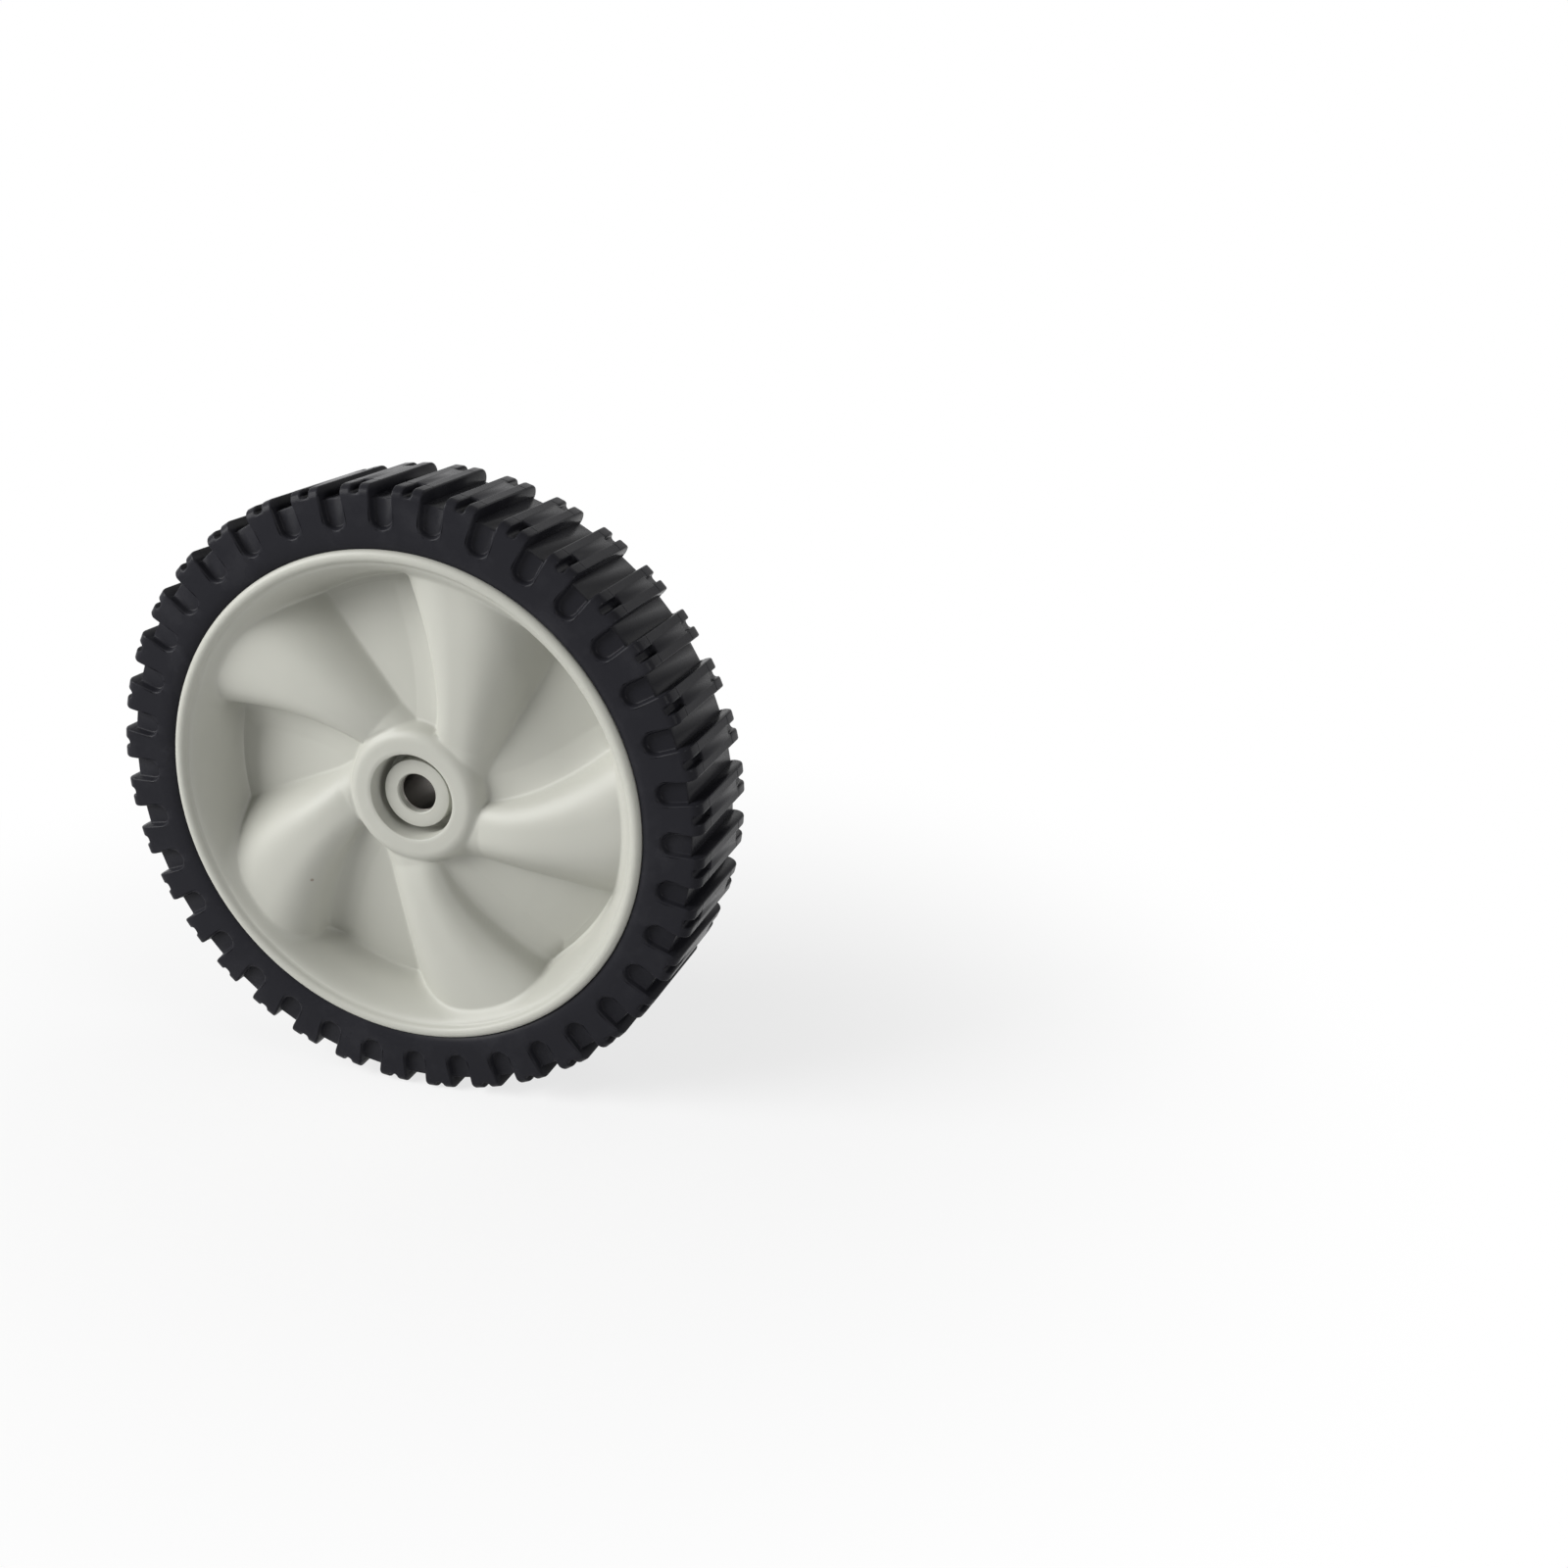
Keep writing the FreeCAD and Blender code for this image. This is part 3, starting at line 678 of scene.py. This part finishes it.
def makeGear(bm):
    g = gearShape
    pitchRadius = g["module"] * g["teeth"] / 2
    tip, root = pitchRadius - g["module"], pitchRadius + g["dedendum"] * g["module"]
    pitch, steps = fullTurn / g["teeth"], g["flankSteps"]
    radii = [root - g["rootRound"]] + [root + (tip - root) * k / steps for k in range(1, steps)]
    radii += [tip + g["tipRound"]]
    path = [(root, -pitch / 2), (root, -toothHalf(root) - g["rootGap"])]
    path += [(r, -toothHalf(r)) for r in radii] + [(tip, -toothHalf(tip) * g["tipFlat"]), (tip, 0.0)]
    path += [(r, -a) for r, a in reversed(path[:-1])]
    path += [(root + g["backing"], a) for a in (pitch / 2, 0.0, -pitch / 2)]
    front = frontPlane + g["front"]
    face = bm.faces.new([bm.verts.new((r * math.cos(a), front, r * math.sin(a))) for r, a in path])
    raised = bmesh.ops.extrude_face_region(bm, geom=[face])["geom"]
    top = [v for v in raised if isinstance(v, bmesh.types.BMVert)]
    bmesh.ops.translate(bm, vec=(0, g["teethEnd"] - g["front"], 0), verts=top)
    ends = [f for f in bm.faces if all(abs(v.co.y - top[0].co.y) < nearly for v in f.verts)]
    rim = [e for f in ends for e in f.edges if max(math.hypot(v.co.x, v.co.z) for v in e.verts) < root + nearly]
    bevelEdges(bm, rim, g["edge"], 2, clamp=True)
    for v in bm.verts:      # teeth start inside the face's wall
        if v.co.y < front + nearly:
            v.co.y += g["slant"] * (math.hypot(v.co.x, v.co.z) - tip)
    bmesh.ops.delete(bm, geom=sideFaces(bm, pitch / 2), context="FACES_ONLY")
    spinCopies(bm, g["teeth"])
    bmesh.ops.remove_doubles(bm, verts=bm.verts[:], dist=0.5 * nearly)
    return root


def makeRings(bm, root):
    g, r, start = gearShape, ringShape["round"], ringShape["start"]
    part = ringShape["roundPart"] * r
    for inside, outside, rear in [(root, root + g["backing"], g["ringEnd"]), ringShape["mid"], ringShape["edge"]]:
        corners = [(inside, start), (inside, rear - r), (inside + part, rear - part), (inside + r, rear),
                   (outside - r, rear), (outside - part, rear - part), (outside, rear - r), (outside, start)]
        spinLoop(bm, [(radius, depth, 0) for radius, depth in corners], ringShape["steps"])
    for v in bm.verts:      # ring walls start inside the face's wall
        if abs(v.co.y - frontPlane - start) < nearly:
            radius, angle = math.hypot(v.co.x, v.co.z), math.atan2(v.co.z, v.co.x)
            v.co.y = frontPlane + faceDepth(radius, angle) + ringShape["sink"]


def makeRib(bm, rib, degrees):
    old = set(bm.verts)
    made = boxCutter(bm, (rib["from"], frontPlane + rib["front"], -rib["wall"] / 2),
                     (rib["to"], frontPlane + rib["rear"], rib["wall"] / 2))
    if "sink" in rib:       # front edge stays inside the dish wall
        for v in made:
            if v.co.y < frontPlane + rib["front"] + nearly:
                v.co.y = frontPlane + dishDepth(min(v.co.x, bodyShape["rimInner"])) + rib["sink"]
    backEdges = [e for e in blockEdges(made)
                 if min(v.co.y for v in e.verts) > frontPlane + rib["rear"] - nearly
                 and abs(e.verts[0].co.x - e.verts[1].co.x) > nearly]
    bevelEdges(bm, backEdges, rib["edge"], 2)
    turnVerts(bm, [v for v in bm.verts if v not in old], degrees)


def makeRearDetails():
    bm = bmesh.new()
    root = makeGear(bm)
    print("gear teeth spun,", len(bm.faces), "faces")
    makeRings(bm, root)
    for rib in ribShape.values():
        for i in range(rib["count"]):
            makeRib(bm, rib, 360.0 * i / rib["count"])
    return finishMesh(bm, "rearDetails", greyPlastic, gearShape["smoothAngle"], "wheel_body")


rearDetails = makeRearDetails()


# steel sleeve in the hub

sleeveShape = {
    "bore": 6.35, "outside": 7.9375, "front": 13.6, "rear": 45.3, "chamfer": 0.35, "sideCuts": 3, "steps": 96,
    "smoothAngle": 30.0,
}


def makeSleeve():
    s = sleeveShape
    bore, outside, front, rear = s["bore"], s["outside"], s["front"], s["rear"]
    c, cuts = s["chamfer"], s["sideCuts"]
    bm = bmesh.new()
    spinLoop(bm, [
        (bore, front + c, cuts), (bore, rear - c, 0), (bore + c, rear, 0), (outside - c, rear, 0),
        (outside, rear - c, cuts), (outside, front + c, 0), (outside - c, front, 0), (bore + c, front, 0),
    ], s["steps"])
    return finishMesh(bm, "sleeveBush", steelWithPaintedShade, s["smoothAngle"], "sleeve_bush")


sleeveBush = makeSleeve()


# floor, light and camera

stageLook = {
    "floor": (0.86, 0.86, 0.86, 1), "roughness": 0.9, "drop": -0.1016, "reach": 6.0, "world": 0.08,
    "shadow": 0.25, "fadeFrom": 0.12, "fadeTo": 0.36,
}


def seenRays(nodes, links):
    # 1 for rays that show the background: seen directly, in a reflection or through glass
    path = nodes.new("ShaderNodeLightPath")
    either = addNode(nodes, "ShaderNodeMath", operation="MAXIMUM")
    links.new(path.outputs["Is Camera Ray"], either.inputs[0])
    links.new(path.outputs["Is Glossy Ray"], either.inputs[1])
    seen = addNode(nodes, "ShaderNodeMath", operation="MAXIMUM")
    links.new(either.outputs[0], seen.inputs[0])
    links.new(path.outputs["Is Transmission Ray"], seen.inputs[1])
    return seen.outputs[0]


def mixShaders(nodes, links, share, first, second, output):
    mix = addNode(nodes, "ShaderNodeMixShader")
    links.new(share, mix.inputs[0])
    links.new(first.outputs[0], mix.inputs[1])
    links.new(second.outputs[0], mix.inputs[2])
    links.new(mix.outputs[0], nodes[output].inputs["Surface"])


def makeFloor():
    bm = bmesh.new()
    bmesh.ops.create_grid(bm, x_segments=1, y_segments=1, size=stageLook["reach"])
    bmesh.ops.translate(bm, vec=(0, 0, stageLook["drop"]), verts=bm.verts[:])
    mesh = bpy.data.meshes.new("studioFloor")
    bm.to_mesh(mesh)
    bm.free()
    floor = bpy.data.objects.new("studioFloor", mesh)
    scene.collection.objects.link(floor)
    material, nodes, links, shader = newMaterial("paleFloor")
    shader.inputs["Base Color"].default_value = stageLook["floor"]
    shader.inputs["Roughness"].default_value = stageLook["roughness"]
    shader.inputs["Specular IOR Level"].default_value = 0.0
    place = addNode(nodes, "ShaderNodeTexCoord")
    away = addNode(nodes, "ShaderNodeVectorMath", operation="LENGTH")
    links.new(place.outputs["Object"], away.inputs[0])
    # the shadow shows near the wheel, and far off the floor is plain white
    white = addNode(nodes, "ShaderNodeMapRange", interpolation_type="SMOOTHSTEP")
    white.inputs["From Min"].default_value = stageLook["fadeFrom"]
    white.inputs["From Max"].default_value = stageLook["fadeTo"]
    white.inputs["To Min"].default_value = 1 - stageLook["shadow"]
    links.new(away.outputs["Value"], white.inputs["Value"])
    share = addNode(nodes, "ShaderNodeMath", operation="MULTIPLY")
    links.new(white.outputs["Result"], share.inputs[0])
    links.new(seenRays(nodes, links), share.inputs[1])
    glow = addNode(nodes, "ShaderNodeEmission", Color=(1, 1, 1, 1), Strength=1.0)
    mixShaders(nodes, links, share.outputs[0], shader, glow, "Material Output")
    mesh.materials.append(material)


def makeWorld():
    world = bpy.data.worlds.new("studio")
    scene.world = world
    world.use_nodes = True
    nodes, links = world.node_tree.nodes, world.node_tree.links
    soft = nodes["Background"]
    soft.inputs["Color"].default_value = (1, 1, 1, 1)
    soft.inputs["Strength"].default_value = stageLook["world"]
    clear = addNode(nodes, "ShaderNodeBackground", Color=(1, 1, 1, 1), Strength=1.0)
    mixShaders(nodes, links, seenRays(nodes, links), soft, clear, "World Output")


lightSetup = {
    "key": {"place": (-1.22, -0.92, 0.80), "size": 1.1, "power": 41.0},
    "fill": {"place": (1.15, -0.48, 0.50), "size": 0.5, "power": 4.2},
    "back": {"place": (0.45, 0.7, 1.0), "size": 0.5, "power": 1.2},
}


def makeLights():
    for name, setup in lightSetup.items():
        lamp = bpy.data.lights.new(name + "Light", "AREA")
        lamp.size = setup["size"]
        lamp.energy = setup["power"]
        holder = bpy.data.objects.new(name + "Light", lamp)
        holder.location = setup["place"]
        holder.rotation_euler = (-Vector(setup["place"])).to_track_quat("-Z", "Y").to_euler()
        scene.collection.objects.link(holder)


# the camera's turn, tilt and place are those of the photograph, in units of the rim's radius
photoView = {"turn": 16.997, "tilt": 20.444, "place": (-1.48132, 0.08286, 6.49593), "unit": 0.082,
             "focal": 1720.0, "image": 1600.0, "sensor": 36.0, "clip": 0.01}


def makeCamera():
    p = photoView
    turn, tilt = math.radians(p["turn"]), math.radians(p["tilt"])
    wheelX = Vector((math.cos(turn), math.sin(turn) * math.sin(tilt), -math.sin(turn) * math.cos(tilt)))
    wheelY = Vector((math.sin(turn), -math.cos(turn) * math.sin(tilt), math.cos(turn) * math.cos(tilt)))
    wheelZ = Vector((0, -math.cos(tilt), -math.sin(tilt)))
    toWheel = Matrix((wheelX, wheelY, wheelZ))
    pose = (toWheel @ Matrix(((1, 0, 0), (0, -1, 0), (0, 0, -1)))).to_4x4()
    pose.translation = -(toWheel @ Vector(p["place"])) * p["unit"] + Vector((0, frontPlane * millimetre, 0))
    camera = bpy.data.cameras.new("photoCamera")
    camera.sensor_width = p["sensor"]
    camera.lens = p["sensor"] * p["focal"] / p["image"]
    camera.clip_start = p["clip"]
    holder = bpy.data.objects.new("photoCamera", camera)
    holder.matrix_world = pose
    scene.collection.objects.link(holder)
    scene.camera = holder


makeFloor()
makeWorld()
makeLights()
makeCamera()
print("stage, lights and camera set")
